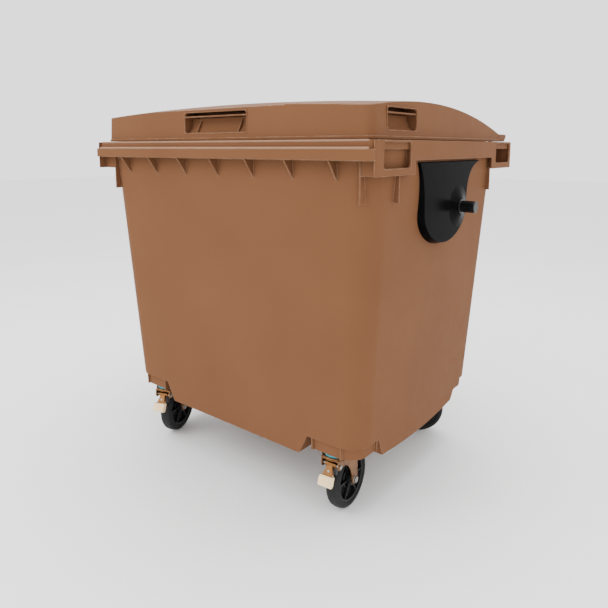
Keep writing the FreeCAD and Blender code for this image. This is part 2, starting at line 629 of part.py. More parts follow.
def mount_plate(name, sx, sy):
    """Flat plate with four bolt holes and the upper bearing race hanging under it."""
    body = doc.addObject("PartDesign::Body", name + "_plate_body")
    half_x, half_y = size("plate_length") / 2, size("plate_width") / 2
    outline = rectangle_sketch(body, name + "_plate_outline", "XY_Plane", (-half_x, -half_y),
                               (half_x, half_y), ("-dims.plate_length / 2", "dims.plate_length / 2",
                                                  "-dims.plate_width / 2", "dims.plate_width / 2"))
    pad = body.newObject("PartDesign::Pad", name + "_plate_pad")
    pad.Profile = outline
    pad.setExpression("Length", "dims.plate_thickness")
    race = body.newObject("Sketcher::SketchObject", name + "_race_sketch")
    race.AttachmentSupport = [(origin_plane(body, "XY_Plane"), "")]
    race.MapMode = "FlatFace"
    race.addGeometry(Part.Circle(V(0, 0, 0), Z_AXIS, size("race_radius")), False)
    race_pad = body.newObject("PartDesign::Pad", name + "_race_pad")
    race_pad.Profile = race
    race_pad.Reversed = True
    race_pad.setExpression("Length", "dims.race_height")
    holes = body.newObject("Sketcher::SketchObject", name + "_hole_sketch")
    holes.AttachmentSupport = [(origin_plane(body, "XY_Plane"), "")]
    holes.MapMode = "FlatFace"
    for i in (-1, 1):
        for j in (-1, 1):
            holes.addGeometry(Part.Circle(V(i * size("bolt_x") / 2, j * size("bolt_y") / 2, 0), Z_AXIS, 5.5),
                              False)
    holes.addGeometry(Part.Circle(V(0, 0, 0), Z_AXIS, 6.05), False)
    pocket = body.newObject("PartDesign::Pocket", name + "_hole_pocket")
    pocket.Profile = holes
    pocket.Type = "ThroughAll"
    pocket.Midplane = True
    doc.recompute()
    corners = [f"Edge{i + 1}" for i, e in enumerate(pocket.Shape.Edges)
               if abs(e.Length - size("plate_thickness")) < 1e-3 and abs(e.Vertexes[0].X) > half_x - 1]
    fillet = body.newObject("PartDesign::Fillet", name + "_plate_corners")
    fillet.Base = (pocket, corners)
    fillet.Radius = 12
    body.Tip = fillet
    place(body, name + "_mount_plate",
          FreeCAD.Placement(V(*swivel_centre(sx, sy), size("deck_bottom") - size("plate_thickness")),
                            FreeCAD.Rotation()))


def plate_bolts(name, sx, sy):
    cx, cy = swivel_centre(sx, sy)
    base = size("deck_bottom") - size("plate_thickness")
    deck_top = size("deck_bottom") + size("deck_thickness")
    bolts = []
    for i in (-1, 1):
        for j in (-1, 1):
            x, y = cx + i * size("bolt_x") / 2, cy + j * size("bolt_y") / 2
            shank = Part.makeCylinder(5, deck_top + 9 - base, V(x, y, base))
            head = hexagon(16, 6, V(x, y, base - 6), Z_AXIS)
            nut = hexagon(16, 8, V(x, y, deck_top + 0.02), Z_AXIS)
            bolts.append(shank.fuse([head, nut]))
    feature(name + "_plate_bolts", Part.makeCompound(bolts))


def bearing(name, sx, sy, heading):
    """Ring of balls between the plate's race and the fork's crown."""
    count, gap_low, gap_high = 16, size("crown_top"), size("deck_bottom") - 4 - size("race_height")
    radius = (gap_high - gap_low) / 2 - 0.3
    middle = (gap_low + gap_high) / 2
    balls = [Part.makeSphere(radius, V(28 * cos(2 * pi * i / count), 28 * sin(2 * pi * i / count), middle))
             for i in range(count)]
    feature(name + "_bearing_balls", Part.makeCompound(balls), castor_place(sx, sy, heading))
    pipe(name + "_bearing_seal", "dims.seal_radius", "dims.seal_radius - 5", "dims.seal_height",
         castor_place(sx, sy, heading, gap_low + 0.2))


def kingpin(name, sx, sy, heading):
    top = size("deck_bottom")
    head_low = size("crown_top") - 18
    shaft = Part.makeCylinder(6, top + 14 - head_low, V(0, 0, head_low))
    shape = shaft.fuse([hexagon(19, 7, V(0, 0, head_low), Z_AXIS), hexagon(19, 9, V(0, 0, top + 0.5), Z_AXIS)])
    feature(name + "_kingpin", shape, castor_place(sx, sy, heading))


def fork(name, sx, sy, heading, braked):
    """Pressed fork: a round crown under the bearing and two legs that sweep back to the axle."""
    trail, axle, sheet = size("trail"), size("wheel_radius"), size("fork_sheet")
    crown_top, radius, gap = size("crown_top"), size("crown_radius"), size("fork_gap") / 2
    crown_low = crown_top - 9
    plate = Part.makeCylinder(radius, 9, V(0, 0, crown_low))
    bridge = box(-39, trail + 12, -gap - sheet, gap + sheet, crown_low - 1.5, crown_low + 4)
    outline = [(-39, crown_low + 3), (-40, 184), (-36, 178), (-28, 176), (-16, 180), (2, 180), (20, 170),
               (34, 152), (trail - 20, axle + 24), (trail - 17, axle), (trail - 11, axle - 12),
               (trail, axle - 17), (trail + 11, axle - 12), (trail + 17, axle), (trail + 17, axle + 60),
               (trail + 12, crown_low + 3)]
    legs = [upright_plate(outline, side * gap, side * (gap + sheet)) for _, side in SIDES]
    shape = plate.fuse([bridge] + legs)
    tools = [Part.makeCylinder(6.02, 60, V(0, 0, 180)),
             Part.makeCylinder(size("axle_radius"), 100, V(trail, -50, axle), Y_AXIS)]
    if braked:
        tools.append(Part.makeCylinder(4, 100, V(PEDAL_X, -50, PEDAL_Z), Y_AXIS))
    feature(name + "_fork", shape.cut(tools), castor_place(sx, sy, heading))


def axle(name, sx, sy, heading):
    half = size("fork_gap") / 2 + size("fork_sheet")
    centre = V(size("trail"), 0, size("wheel_radius"))
    shaft = Part.makeCylinder(size("axle_radius"), 2 * half + 14, centre + V(0, -half, 0), Y_AXIS)
    head = hexagon(19, 7, centre + V(0, -half - 7, 0), Y_AXIS)
    nut = hexagon(19, 10, centre + V(0, half + 0.05, 0), Y_AXIS)
    feature(name + "_axle_bolt", shaft.fuse([head, nut]), castor_place(sx, sy, heading))
    turn = castor_place(sx, sy, heading).multiply(
        FreeCAD.Placement(centre + V(0, -size("fork_gap") / 2 + 0.1, 0), FreeCAD.Rotation(X_AXIS, -90)))
    pipe(name + "_axle_sleeve", "dims.sleeve_radius", "dims.axle_radius + 0.02", "dims.fork_gap - 0.2", turn)


def hub(name, sx, sy, heading):
    """Moulded wheel centre: a boss, a dished web with five spokes' worth of ribs, and a rim."""
    rim, width = size("rim_radius"), size("tyre_width")
    bore = size("sleeve_radius") + 0.06
    profile = [V(bore, -26, 0), V(22, -26, 0), V(24, -5, 0), V(rim - 10, -5, 0), V(rim - 7, -width / 2 + 5, 0),
               V(rim, -width / 2 + 4, 0), V(rim, width / 2 - 4, 0), V(rim - 7, width / 2 - 5, 0),
               V(rim - 10, 1, 0), V(24, 1, 0), V(22, 26, 0), V(bore, 26, 0)]
    shape = revolved(profile, V(0, 0, 0), Y_AXIS)
    spokes = []
    for i in range(6):
        spoke = upright_plate([(20, -2.5), (rim - 6, -2.5), (rim - 6, 2.5), (20, 2.5)], -17, 17)
        spoke.rotate(V(0, 0, 0), Y_AXIS, 60 * i)
        spokes.append(spoke)
    centre = FreeCAD.Placement(V(size("trail"), 0, size("wheel_radius")), FreeCAD.Rotation())
    feature(name + "_wheel_hub", shape.fuse(spokes), castor_place(sx, sy, heading).multiply(centre))


def tyre(name, sx, sy, heading):
    """Solid rubber tyre: a turned ring with rounded shoulders."""
    body = doc.addObject("PartDesign::Body", name + "_tyre_body")
    width, inner, outer = size("tyre_width"), size("rim_radius"), size("wheel_radius")
    ring = rectangle_sketch(body, name + "_tyre_ring", "XY_Plane", (inner, -width / 2), (outer, width / 2),
                            ("dims.rim_radius + 0.02", "dims.wheel_radius", "-dims.tyre_width / 2",
                             "dims.tyre_width / 2"))
    turned = body.newObject("PartDesign::Revolution", name + "_tyre_turned")
    turned.Profile = ring
    turned.ReferenceAxis = (ring, ["V_Axis"])
    turned.Angle = 360
    doc.recompute()
    edges = [f"Edge{i + 1}" for i, e in enumerate(turned.Shape.Edges)
             if hasattr(e.Curve, "Radius") and abs(e.Curve.Radius - outer) < 0.1]
    shoulder = body.newObject("PartDesign::Fillet", name + "_tyre_shoulder")
    shoulder.Base = (turned, edges)
    shoulder.setExpression("Radius", "dims.tread_radius")
    body.Tip = shoulder
    centre = FreeCAD.Placement(V(size("trail"), 0, outer), FreeCAD.Rotation())
    place(body, name + "_tyre", castor_place(sx, sy, heading).multiply(centre))


PEDAL_X, PEDAL_Z = -30, 188


def brake(name, sx, sy, heading):
    """Foot brake on the leading side: a pivot pin, a pedal with a broad tread and a shoe behind it."""
    half = size("fork_gap") / 2 + size("fork_sheet")
    place_at = castor_place(sx, sy, heading)
    pin = Part.makeCylinder(3.95, 2 * half + 4, V(PEDAL_X, -half - 2, PEDAL_Z), Y_AXIS)
    ends = [Part.makeCylinder(6.5, 3, V(PEDAL_X, y, PEDAL_Z), Y_AXIS) for y in (-half - 3.5, half + 0.5)]
    feature(name + "_brake_pin", pin.fuse(ends), place_at)
    bore = Part.makeCylinder(4.02, 100, V(PEDAL_X, -50, PEDAL_Z), Y_AXIS)
    eye = Part.makeCylinder(8, 40, V(PEDAL_X, -20, PEDAL_Z), Y_AXIS)
    high = [V(PEDAL_X - 9, -9, 190), V(PEDAL_X + 1, -9, 181), V(PEDAL_X + 1, 9, 181), V(PEDAL_X - 9, 9, 190)]
    low = [V(-59, -18, 158), V(-50, -18, 152), V(-50, 18, 152), V(-59, 18, 158)]
    arm = Part.makeLoft([Part.makePolygon(ring + ring[:1]) for ring in (high, low)], True, True)
    tread = upright_plate([(-48, 159), (-57, 163), (-67, 159), (-76, 141), (-75, 133), (-65, 129), (-57, 133)],
                          -23, 23)
    tread = tread.makeFillet(3.5, [e for e in tread.Edges if e.Length > 40])
    pedal = eye.fuse([arm, tread]).cut(bore)
    feature(name + "_brake_pedal", pedal, place_at)

    def around_wheel(radius, angle):
        return size("trail") + radius * cos(radians(angle)), size("wheel_radius") + radius * sin(radians(angle))
    outline = [around_wheel(104.5, 138), around_wheel(104.5, 150), around_wheel(109, 150),
               (PEDAL_X - 4, PEDAL_Z - 6), (PEDAL_X + 5, PEDAL_Z - 5), around_wheel(109, 138)]
    feature(name + "_brake_shoe", upright_plate(outline, -18, 18).cut([pedal, bore]), place_at)


# ---------------------------------------------------------------- assembly
def build():
    feature("tub", make_tub())
    for label, side in SIDES:
        trunnion_plate(label, side)
        trunnion_pin(label, side)
        trunnion_screws(label, side)
    hinge_pins()
    drain()
    make_lid()
    lid_buffers()
    for name, sx, sy, heading in CASTORS:
        mount_plate(name, sx, sy)
        plate_bolts(name, sx, sy)
        bearing(name, sx, sy, heading)
        kingpin(name, sx, sy, heading)
        fork(name, sx, sy, heading, braked=sy < 0)
        axle(name, sx, sy, heading)
        hub(name, sx, sy, heading)
        tyre(name, sx, sy, heading)
        if sy < 0:
            brake(name, sx, sy, heading)
    doc.recompute()


def check_and_export():
    bad = [o.Name for o in doc.Objects if "Invalid" in o.State or "Error" in o.State]
    if bad:
        raise SystemExit(f"failed objects: {bad}")
    for obj in subparts:
        if obj.Shape.isNull() or not obj.Shape.isValid() or not obj.Shape.Solids:
            raise SystemExit(f"{obj.Label} has no valid solid")
    os.makedirs("parts", exist_ok=True)
    for obj in subparts:
        obj.Shape.exportStep(os.path.join("parts", obj.Label + ".step"))
    print(len(subparts), "sub-parts written")


build()
check_and_export()
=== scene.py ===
import json
from math import atan2, cos, pi, radians, sin

import bpy
import bmesh
from mathutils import Matrix, Vector


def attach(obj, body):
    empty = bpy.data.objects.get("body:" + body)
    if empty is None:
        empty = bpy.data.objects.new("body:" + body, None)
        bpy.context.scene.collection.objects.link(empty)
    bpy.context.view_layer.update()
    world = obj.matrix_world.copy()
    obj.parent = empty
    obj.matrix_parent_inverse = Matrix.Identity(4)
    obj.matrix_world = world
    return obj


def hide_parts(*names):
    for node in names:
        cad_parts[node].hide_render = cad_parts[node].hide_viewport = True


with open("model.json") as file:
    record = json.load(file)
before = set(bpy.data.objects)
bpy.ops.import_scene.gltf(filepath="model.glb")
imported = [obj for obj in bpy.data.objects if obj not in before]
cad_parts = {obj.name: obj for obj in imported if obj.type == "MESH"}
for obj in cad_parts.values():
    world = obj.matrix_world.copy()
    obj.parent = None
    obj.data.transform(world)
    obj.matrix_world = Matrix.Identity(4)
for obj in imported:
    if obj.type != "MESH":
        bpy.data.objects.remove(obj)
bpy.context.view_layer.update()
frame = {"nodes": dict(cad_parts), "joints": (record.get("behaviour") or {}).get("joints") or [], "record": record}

NODES = frame["nodes"]
RECORD = frame["record"]
JOINTS = {joint["name"]: joint for joint in frame["joints"]}
MM = 0.001
UP = Vector((0, 0, 1))


# ---------------------------------------------------------------- materials
NOISE_LOW, NOISE_HIGH = 0.3, 0.7      # most values of a noise texture lie between these
EDGE_SHARP, EDGE_FLAT = 0.75, 0.985   # how far the rounded and the true normal agree
PATCH_DETAIL, GRAIN_DETAIL = 4.0, 2.0
# Noise that breaks up the paler edges: the scuffing and the painted edge highlight.
EDGE_BREAKUP_SCALE, EDGE_BREAKUP_DETAIL = 26.0, 5.0
EDGE_BREAKUP_LOW, EDGE_BREAKUP_HIGH, EDGE_BREAKUP_LEAST = 0.35, 0.65, 0.25
ROUGH_SPREAD = 0.06
RELIEF_DEPTH = 0.0006


def new_material(name):
    """A material with an empty tree but for its output and a principled shader."""
    material = bpy.data.materials.new(name)
    material.use_nodes = True
    tree = material.node_tree
    tree.nodes.clear()
    output = tree.nodes.new("ShaderNodeOutputMaterial")
    shader = tree.nodes.new("ShaderNodeBsdfPrincipled")
    tree.links.new(shader.outputs["BSDF"], output.inputs["Surface"])
    return material, tree, shader


def noise(tree, scale, detail):
    """Noise in object coordinates, so that it stays with a piece that moves."""
    coord = tree.nodes.new("ShaderNodeTexCoord")
    texture = tree.nodes.new("ShaderNodeTexNoise")
    texture.inputs["Scale"].default_value = scale
    texture.inputs["Detail"].default_value = detail
    tree.links.new(coord.outputs["Object"], texture.inputs["Vector"])
    return texture.outputs["Fac"]


def remap(tree, value, low, high, from_low=NOISE_LOW, from_high=NOISE_HIGH):
    """Carries a socket's values from one range to another, and clamps them there."""
    node = tree.nodes.new("ShaderNodeMapRange")
    node.inputs["From Min"].default_value = from_low
    node.inputs["From Max"].default_value = from_high
    node.inputs["To Min"].default_value = low
    node.inputs["To Max"].default_value = high
    tree.links.new(value, node.inputs["Value"])
    return node.outputs["Result"]


def mix_colors(tree, factor, first, second):
    """Blends two colours, each a tuple or a socket."""
    node = tree.nodes.new("ShaderNodeMix")
    node.data_type = "RGBA"
    tree.links.new(factor, node.inputs[0])
    for socket, value in ((node.inputs[6], first), (node.inputs[7], second)):
        if isinstance(value, tuple):
            socket.default_value = (*value, 1.0)
        else:
            tree.links.new(value, socket)
    return node.outputs[2]


def math_node(tree, operation, first, second):
    """One sum on two values, each a number or a socket."""
    node = tree.nodes.new("ShaderNodeMath")
    node.operation = operation
    for socket, value in ((node.inputs[0], first), (node.inputs[1], second)):
        if isinstance(value, (int, float)):
            socket.default_value = value
        else:
            tree.links.new(value, socket)
    return node.outputs[0]


def edge_mask(tree, radius):
    """Rounded shading normal, and a mask that is 1 along convex and concave edges."""
    bevel = tree.nodes.new("ShaderNodeBevel")
    bevel.samples = 4
    bevel.inputs["Radius"].default_value = radius
    geometry = tree.nodes.new("ShaderNodeNewGeometry")
    dot = tree.nodes.new("ShaderNodeVectorMath")
    dot.operation = "DOT_PRODUCT"
    tree.links.new(bevel.outputs["Normal"], dot.inputs[0])
    tree.links.new(geometry.outputs["Normal"], dot.inputs[1])
    return bevel.outputs["Normal"], remap(tree, dot.outputs["Value"], 1.0, 0.0, EDGE_SHARP, EDGE_FLAT)


def surface(name, color, rough, metallic=0.0, vary=0.06, patch=4.0, grain=700.0, bump=0.04,
            edge=0.002, wear_and_highlight=None, wear_and_highlight_amount=0.35, shine=0.5):
    """The one material recipe: patchy colour, fine grain, rounded edges, and edges blended paler, as scuffing on
    most finishes and as a painted highlight on the tub and lid.
    """
    material, tree, shader = new_material(name)
    dark = tuple(c * (1 - vary) for c in color)
    light = tuple(min(1.0, c * (1 + vary)) for c in color)
    base = mix_colors(tree, remap(tree, noise(tree, patch, PATCH_DETAIL), 0, 1), dark, light)
    normal, mask = edge_mask(tree, edge)
    # Edges blend towards a paler colour: scuffing, and on the tub and lid a painted highlight along the edges.
    wear_and_highlight = wear_and_highlight or tuple(min(1.0, c * 1.35 + 0.02) for c in color)
    edge_breakup = remap(tree, noise(tree, EDGE_BREAKUP_SCALE, EDGE_BREAKUP_DETAIL), EDGE_BREAKUP_LEAST, 1.0, EDGE_BREAKUP_LOW, EDGE_BREAKUP_HIGH)
    wear_and_highlight_mix = math_node(tree, "MULTIPLY", mask, edge_breakup)
    wear_and_highlight_mix = math_node(tree, "MULTIPLY", wear_and_highlight_mix, wear_and_highlight_amount)
    tree.links.new(mix_colors(tree, wear_and_highlight_mix, base, wear_and_highlight), shader.inputs["Base Color"])
    roughness = remap(tree, noise(tree, patch * 6, PATCH_DETAIL), rough - ROUGH_SPREAD, rough + ROUGH_SPREAD)
    tree.links.new(roughness, shader.inputs["Roughness"])
    shader.inputs["Metallic"].default_value = metallic
    shader.inputs["Specular IOR Level"].default_value = shine
    relief = tree.nodes.new("ShaderNodeBump")
    relief.inputs["Strength"].default_value = bump
    relief.inputs["Distance"].default_value = RELIEF_DEPTH
    tree.links.new(noise(tree, grain, GRAIN_DETAIL), relief.inputs["Height"])
    tree.links.new(normal, relief.inputs["Normal"])
    tree.links.new(relief.outputs["Normal"], shader.inputs["Normal"])
    return material


def plated_above(material, height, color):
    """Changes a finish to plated metal above a height, in metres."""
    tree = material.node_tree
    shader = next(node for node in tree.nodes if node.type == "BSDF_PRINCIPLED")
    place = tree.nodes.new("ShaderNodeTexCoord")
    split = tree.nodes.new("ShaderNodeSeparateXYZ")
    tree.links.new(place.outputs["Object"], split.inputs[0])
    above = math_node(tree, "GREATER_THAN", split.outputs["Z"], height)
    below = shader.inputs["Base Color"].links[0].from_socket
    tree.links.new(mix_colors(tree, above, below, color), shader.inputs["Base Color"])
    tree.links.new(above, shader.inputs["Metallic"])


BROWN = (0.143, 0.064, 0.031)
# Paler brown blended into the tub's and lid's edges: a painted highlight along them.
EDGE_HIGHLIGHT_BROWN = (0.40, 0.25, 0.165)
# Paler brown of the comb and rim beads: a painted highlight.
BEAD_HIGHLIGHT_BROWN = (0.24, 0.135, 0.085)
BLACK = (0.0025, 0.0025, 0.0028)
RUBBER = (0.02, 0.02, 0.02)
PLATED_ARM = (0.20, 0.09, 0.032)
PEDAL_TREAD_TOP = 0.1622
FINISHES = {
    # Tub and lid: edges blended fully to the paler brown, a painted edge highlight.
    "tub_plastic": dict(color=BROWN, rough=0.44, vary=0.05, patch=3.0, edge=0.003, wear_and_highlight=EDGE_HIGHLIGHT_BROWN,
                        wear_and_highlight_amount=1.0, shine=0.012),
    "lid_plastic": dict(color=BROWN, rough=0.42, vary=0.05, patch=3.0, edge=0.003, wear_and_highlight=EDGE_HIGHLIGHT_BROWN,
                        wear_and_highlight_amount=1.0, shine=0.015),
    "trunnion_plastic": dict(color=BLACK, rough=0.22, vary=0.2, bump=0.02, edge=0.003,
                             wear_and_highlight=(0.012, 0.012, 0.0125), shine=0.012),
    "trunnion_sleeve": dict(color=BLACK, rough=0.3, vary=0.2, wear_and_highlight=(0.03, 0.03, 0.031), shine=0.3),
    "tyre": dict(color=(0.010, 0.010, 0.0104), rough=0.62, vary=0.2, patch=14.0, grain=1500.0, bump=0.1,
                 wear_and_highlight=(0.032, 0.031, 0.029), shine=0.2),
    "hub_plastic": dict(color=BLACK, rough=0.45, vary=0.2, patch=12.0, wear_and_highlight=(0.03, 0.03, 0.03), shine=0.3),
    "yellow_zinc": dict(color=(0.17, 0.074, 0.025), rough=0.36, metallic=0.75, vary=0.28, patch=22.0,
                        grain=1800.0, bump=0.08, edge=0.0012, wear_and_highlight=(0.46, 0.27, 0.12), wear_and_highlight_amount=0.7),
    "seal_plastic": dict(color=(0.04, 0.30, 0.36), rough=0.4, vary=0.1, patch=20.0, edge=0.001,
                         wear_and_highlight=(0.2, 0.5, 0.55), shine=0.3),
    "pedal_plastic": dict(color=(0.93, 0.70, 0.40), rough=0.45, vary=0.05, patch=16.0,
                          wear_and_highlight=(0.95, 0.85, 0.7), shine=0.3),
    "shoe_rubber": dict(color=RUBBER, rough=0.7, vary=0.15, patch=16.0, edge=0.001),
    "soft_rubber": dict(color=RUBBER, rough=0.7, vary=0.15, patch=16.0, edge=0.001),
    "steel": dict(color=(0.30, 0.28, 0.25), rough=0.35, metallic=0.9, vary=0.15, patch=30.0, grain=1800.0,
                  edge=0.0008, wear_and_highlight=(0.45, 0.45, 0.45)),
}
MATERIALS = {name: surface(name, **finish) for name, finish in FINISHES.items()}
plated_above(MATERIALS["pedal_plastic"], PEDAL_TREAD_TOP, PLATED_ARM)

for subpart in RECORD["subparts"]:
    for slot in NODES[subpart["node"]].material_slots:
        slot.material = MATERIALS[subpart["material_slot"]]


# ---------------------------------------------------------------- making pieces
MERGE = 1e-6


def add_piece(name, verts, faces, placement, slot_name, body, smooth_below=None):
    """A closed mesh riding on a body; its edges are smoothed where they turn by less than an angle."""
    mesh = bpy.data.meshes.new(name)
    mesh.from_pydata(verts, [], faces)
    edit = bmesh.new()
    edit.from_mesh(mesh)
    bmesh.ops.remove_doubles(edit, verts=edit.verts, dist=MERGE)
    bmesh.ops.recalc_face_normals(edit, faces=edit.faces)
    for face in edit.faces:
        face.smooth = smooth_below is not None
    edit.to_mesh(mesh)
    edit.free()
    if smooth_below:
        mesh.set_sharp_from_angle(angle=radians(smooth_below))
    mesh.materials.append(MATERIALS[slot_name])
    piece = bpy.data.objects.new(name, mesh)
    bpy.context.scene.collection.objects.link(piece)
    piece.matrix_world = placement
    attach(piece, body)
    return piece


def lathe(name, profile, placement, slot_name, body, steps=96):
    """A turned piece: profile is a closed loop of (radius, height) in millimetres, about local Z."""
    verts, faces, count = [], [], len(profile)
    for i in range(steps):
        angle = 2 * pi * i / steps
        verts += [(r * MM * cos(angle), r * MM * sin(angle), h * MM) for r, h in profile]
        a, b = i * count, (i + 1) % steps * count
        for j in range(count):
            k = (j + 1) % count
            faces.append((a + j, b + j, b + k, a + k))
    return add_piece(name, verts, faces, placement, slot_name, body, smooth_below=28)


def shift(x, y, z):
    """A move given in millimetres."""
    return Matrix.Translation(Vector((x, y, z)) * MM)


def turn(angle, axis):
    """A turn given in degrees."""
    return Matrix.Rotation(radians(angle), 4, axis)


# ---------------------------------------------------------------- castors
CASTORS = ("front_left", "front_right", "rear_left", "rear_right")
BRAKED_CASTORS = CASTORS[:2]
FACES = (("a", -1), ("b", 1))
FORK_FACE = 33
BAR_HALF = 19.0


def trail(name):
    """Distance in metres from the swivel axis to the axle."""
    axle, swivel = (Vector(JOINTS[name + joint]["pos_m"]).xy for joint in ("_roll", "_swivel"))
    return (axle - swivel).length


def castor_frame(name):
    """Placement at the swivel axis on the floor, with local X along the trail."""
    sx, sy, _ = JOINTS[name + "_swivel"]["pos_m"]
    wx, wy, _ = JOINTS[name + "_roll"]["pos_m"]
    return Matrix.Translation((sx, sy, 0)) @ Matrix.Rotation(atan2(wy - sy, wx - sx), 4, "Z")


def wheel_frame(name):
    """Placement at the wheel's centre, with local Z along the axle."""
    centre = Matrix.Translation((trail(name), 0, JOINTS[name + "_roll"]["pos_m"][2]))
    return castor_frame(name) @ centre @ turn(-90, "X")


def tyres():
    """Tyres with a tread groove, rounded shoulders and two ring grooves in each sidewall."""
    half = [(99.1, 0.0), (99.1, 0.5), (100.0, 1.1), (100.0, 5.0), (99.6, 9.5), (98.4, 14.0), (96.2, 18.2),
            (93.0, 21.4), (90.0, 22.8), (89.4, 22.0), (88.4, 22.0), (87.8, 23.4), (84.0, 24.0), (83.4, 23.2),
            (82.6, 23.2), (82.0, 23.8), (79.6, 22.6), (78.1, 19.0)]
    profile = [(r, -h) for r, h in reversed(half[1:])] + half
    for name in CASTORS:
        piece = lathe(name + "_tyre_rubber", profile, wheel_frame(name), "tyre", name + "_wheel", steps=128)
        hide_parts(name + "_tyre")


def hub_trim():
    """A raised lip and a boss ring on both faces of each hub."""
    lip = ((70.5, 18.0), (76.5, 21.0), (77.9, 19.5), (77.9, 16.0), (71.0, 15.0))
    ring = ((30.0, 2.0), (30.0, 9.0), (33.0, 10.5), (36.0, 9.0), (36.0, 2.0))
    for name in CASTORS:
        for face, side in FACES:
            for part, profile in (("lip", lip), ("ring", ring)):
                lathe(f"{name}_hub_{part}_{face}", [(r, side * h) for r, h in profile], wheel_frame(name),
                      "hub_plastic", name + "_wheel")


def castor_trim():
    """Pressed race flanges, a rivet and a plug weld on each leg, and washers at the axle."""
    flange = [(37.0, 215.6), (45.0, 215.6), (46.5, 214.2), (46.5, 212.6), (45.2, 211.8), (43.0, 211.6),
              (37.0, 211.6)]
    bead = [(40.0, 208.6), (44.6, 208.4), (45.4, 207.4), (44.6, 206.4), (40.0, 206.2)]
    dome = [(0.0, 2.4), (2.6, 2.0), (4.4, 0.9), (4.9, -0.4), (0.0, -0.4)]
    washer = [(6.2, -0.2), (11.8, -0.2), (12.2, 0.8), (11.6, 1.5), (6.2, 1.5)]
    for name in CASTORS:
        here = castor_frame(name)
        body = name + "_castor"
        lathe(name + "_race_flange", flange, here, "yellow_zinc", body)
        lathe(name + "_race_bead", bead, here, "yellow_zinc", body)
        fittings = (("leg_rivet", dome, 24, 192, "seal_plastic", 24),
                    ("leg_weld", dome, 60, 196, "yellow_zinc", 24),
                    ("axle_washer", washer, trail(name) / MM, 100, "steel", 32))
        for face, side in FACES:
            for part, profile, x, z, slot_name, steps in fittings:
                place = here @ shift(x, side * FORK_FACE, z) @ turn(-90 * side, "X")
                lathe(f"{name}_{part}_{face}", profile, place, slot_name, body, steps=steps)


def pedal_trim():
    """A rivet on each pedal's arm and three grip bars across its tread."""
    dome = [(0.0, 2.2), (3.0, 1.8), (5.0, 0.6), (5.4, -0.8), (0.0, -0.8)]
    bar = [(0.0, -BAR_HALF), (1.5, -BAR_HALF), (1.9, 1 - BAR_HALF), (1.9, BAR_HALF - 1), (1.5, BAR_HALF),
           (0.0, BAR_HALF)]
    for name in BRAKED_CASTORS:
        here = castor_frame(name)
        lathe(name + "_pedal_rivet", dome, here @ shift(-48.6, 0, 172.5) @ turn(-62, "Y"), "steel",
              name + "_brake", steps=24)
        for i, (x, z) in enumerate(((-69.4, 155.0), (-72.4, 149.2), (-75.2, 143.4))):
            lathe(f"{name}_pedal_bar_{i}", bar, here @ shift(x, 0, z) @ turn(90, "X"), "pedal_plastic",
                  name + "_brake", steps=16)


# ---------------------------------------------------------------- lips, scoops and beads
ENDS = (("left", -1), ("right", 1))
LID_FRONT, LID_END, RIM_END = 491, 605, 635   # outer faces, from the middle of the bin
FRONT_SILL, FRONT_HALF_LENGTH, FRONT_HALF_HEIGHT = 1236, 146, 34.5
END_SILL, END_HALF_LENGTH, END_HALF_HEIGHT, END_POCKET_Y = 1237, 86.5, 32, -323.5
GRIP_Z, GRIP_HALF_HEIGHT = 1168, 37
GRIPS = (("front", -400, 75.5), ("rear", 418, 72.5))   # name, middle, half length
LID_LIP, GRIP_LIP, LIP_ROOT, LIP_CHAMFER = 0.8, 0.6, 6.0, 1.6


def rounded_loop(half_u, half_v, radius, steps=8):
    """Points of a rounded rectangle, anticlockwise, in millimetres."""
    points = []
    for i, (su, sv) in enumerate(((1, 1), (-1, 1), (-1, -1), (1, -1))):
        for step in range(steps + 1):
            angle = radians(90 * i + 90 * step / steps)
            points.append((su * (half_u - radius) + radius * cos(angle),
                           sv * (half_v - radius) + radius * sin(angle)))
    return points


def opening_lip(name, origin, along, outward, half_u, half_v, proud, body):
    """A thin moulded lip round a hand opening, with rounded inner corners and a chamfered inner edge."""
    along, outward = Vector(along), Vector(outward)
    outer = rounded_loop(half_u + 2.5, half_v + 2.5, 3.0)
    shoulder = rounded_loop(half_u + 2.0, half_v + 2.0, 3.0)
    crest = rounded_loop(half_u + 1.0, half_v + 1.0, 11.0)
    inner = rounded_loop(half_u - 1.0, half_v - 1.0, 10.0)
    layers = ((outer, 0.0), (shoulder, proud), (crest, proud), (inner, proud - LIP_CHAMFER),
              (inner, -LIP_ROOT), (outer, -LIP_ROOT))
    verts, faces, count = [], [], len(outer)
    for j, (loop, height) in enumerate(layers):
        verts += [tuple((along * u + UP * v + outward * height) * MM) for u, v in loop]
        a, b = j * count, (j + 1) % len(layers) * count
        for i in range(count):
            k = (i + 1) % count
            faces.append((a + i, a + k, b + k, b + i))
    add_piece(name, verts, faces, shift(*origin), body + "_plastic", body)


def opening_lips():
    """Lips round the lid's three hand pockets and the rim's four grip windows."""
    opening_lip("front_lid_handle_lip", (0, -LID_FRONT, FRONT_SILL + FRONT_HALF_HEIGHT), (1, 0, 0),
                (0, -1, 0), FRONT_HALF_LENGTH, FRONT_HALF_HEIGHT, LID_LIP, "lid")
    for label, side in ENDS:
        along, outward = (0, side, 0), (side, 0, 0)
        opening_lip(label + "_lid_handle_lip", (side * LID_END, END_POCKET_Y, END_SILL + END_HALF_HEIGHT),
                    along, outward, END_HALF_LENGTH, END_HALF_HEIGHT, LID_LIP, "lid")
        for place, y, half_length in GRIPS:
            opening_lip(f"{label}_{place}_grip_lip", (side * RIM_END, y, GRIP_Z), along, outward,
                        half_length, GRIP_HALF_HEIGHT, GRIP_LIP, "tub")


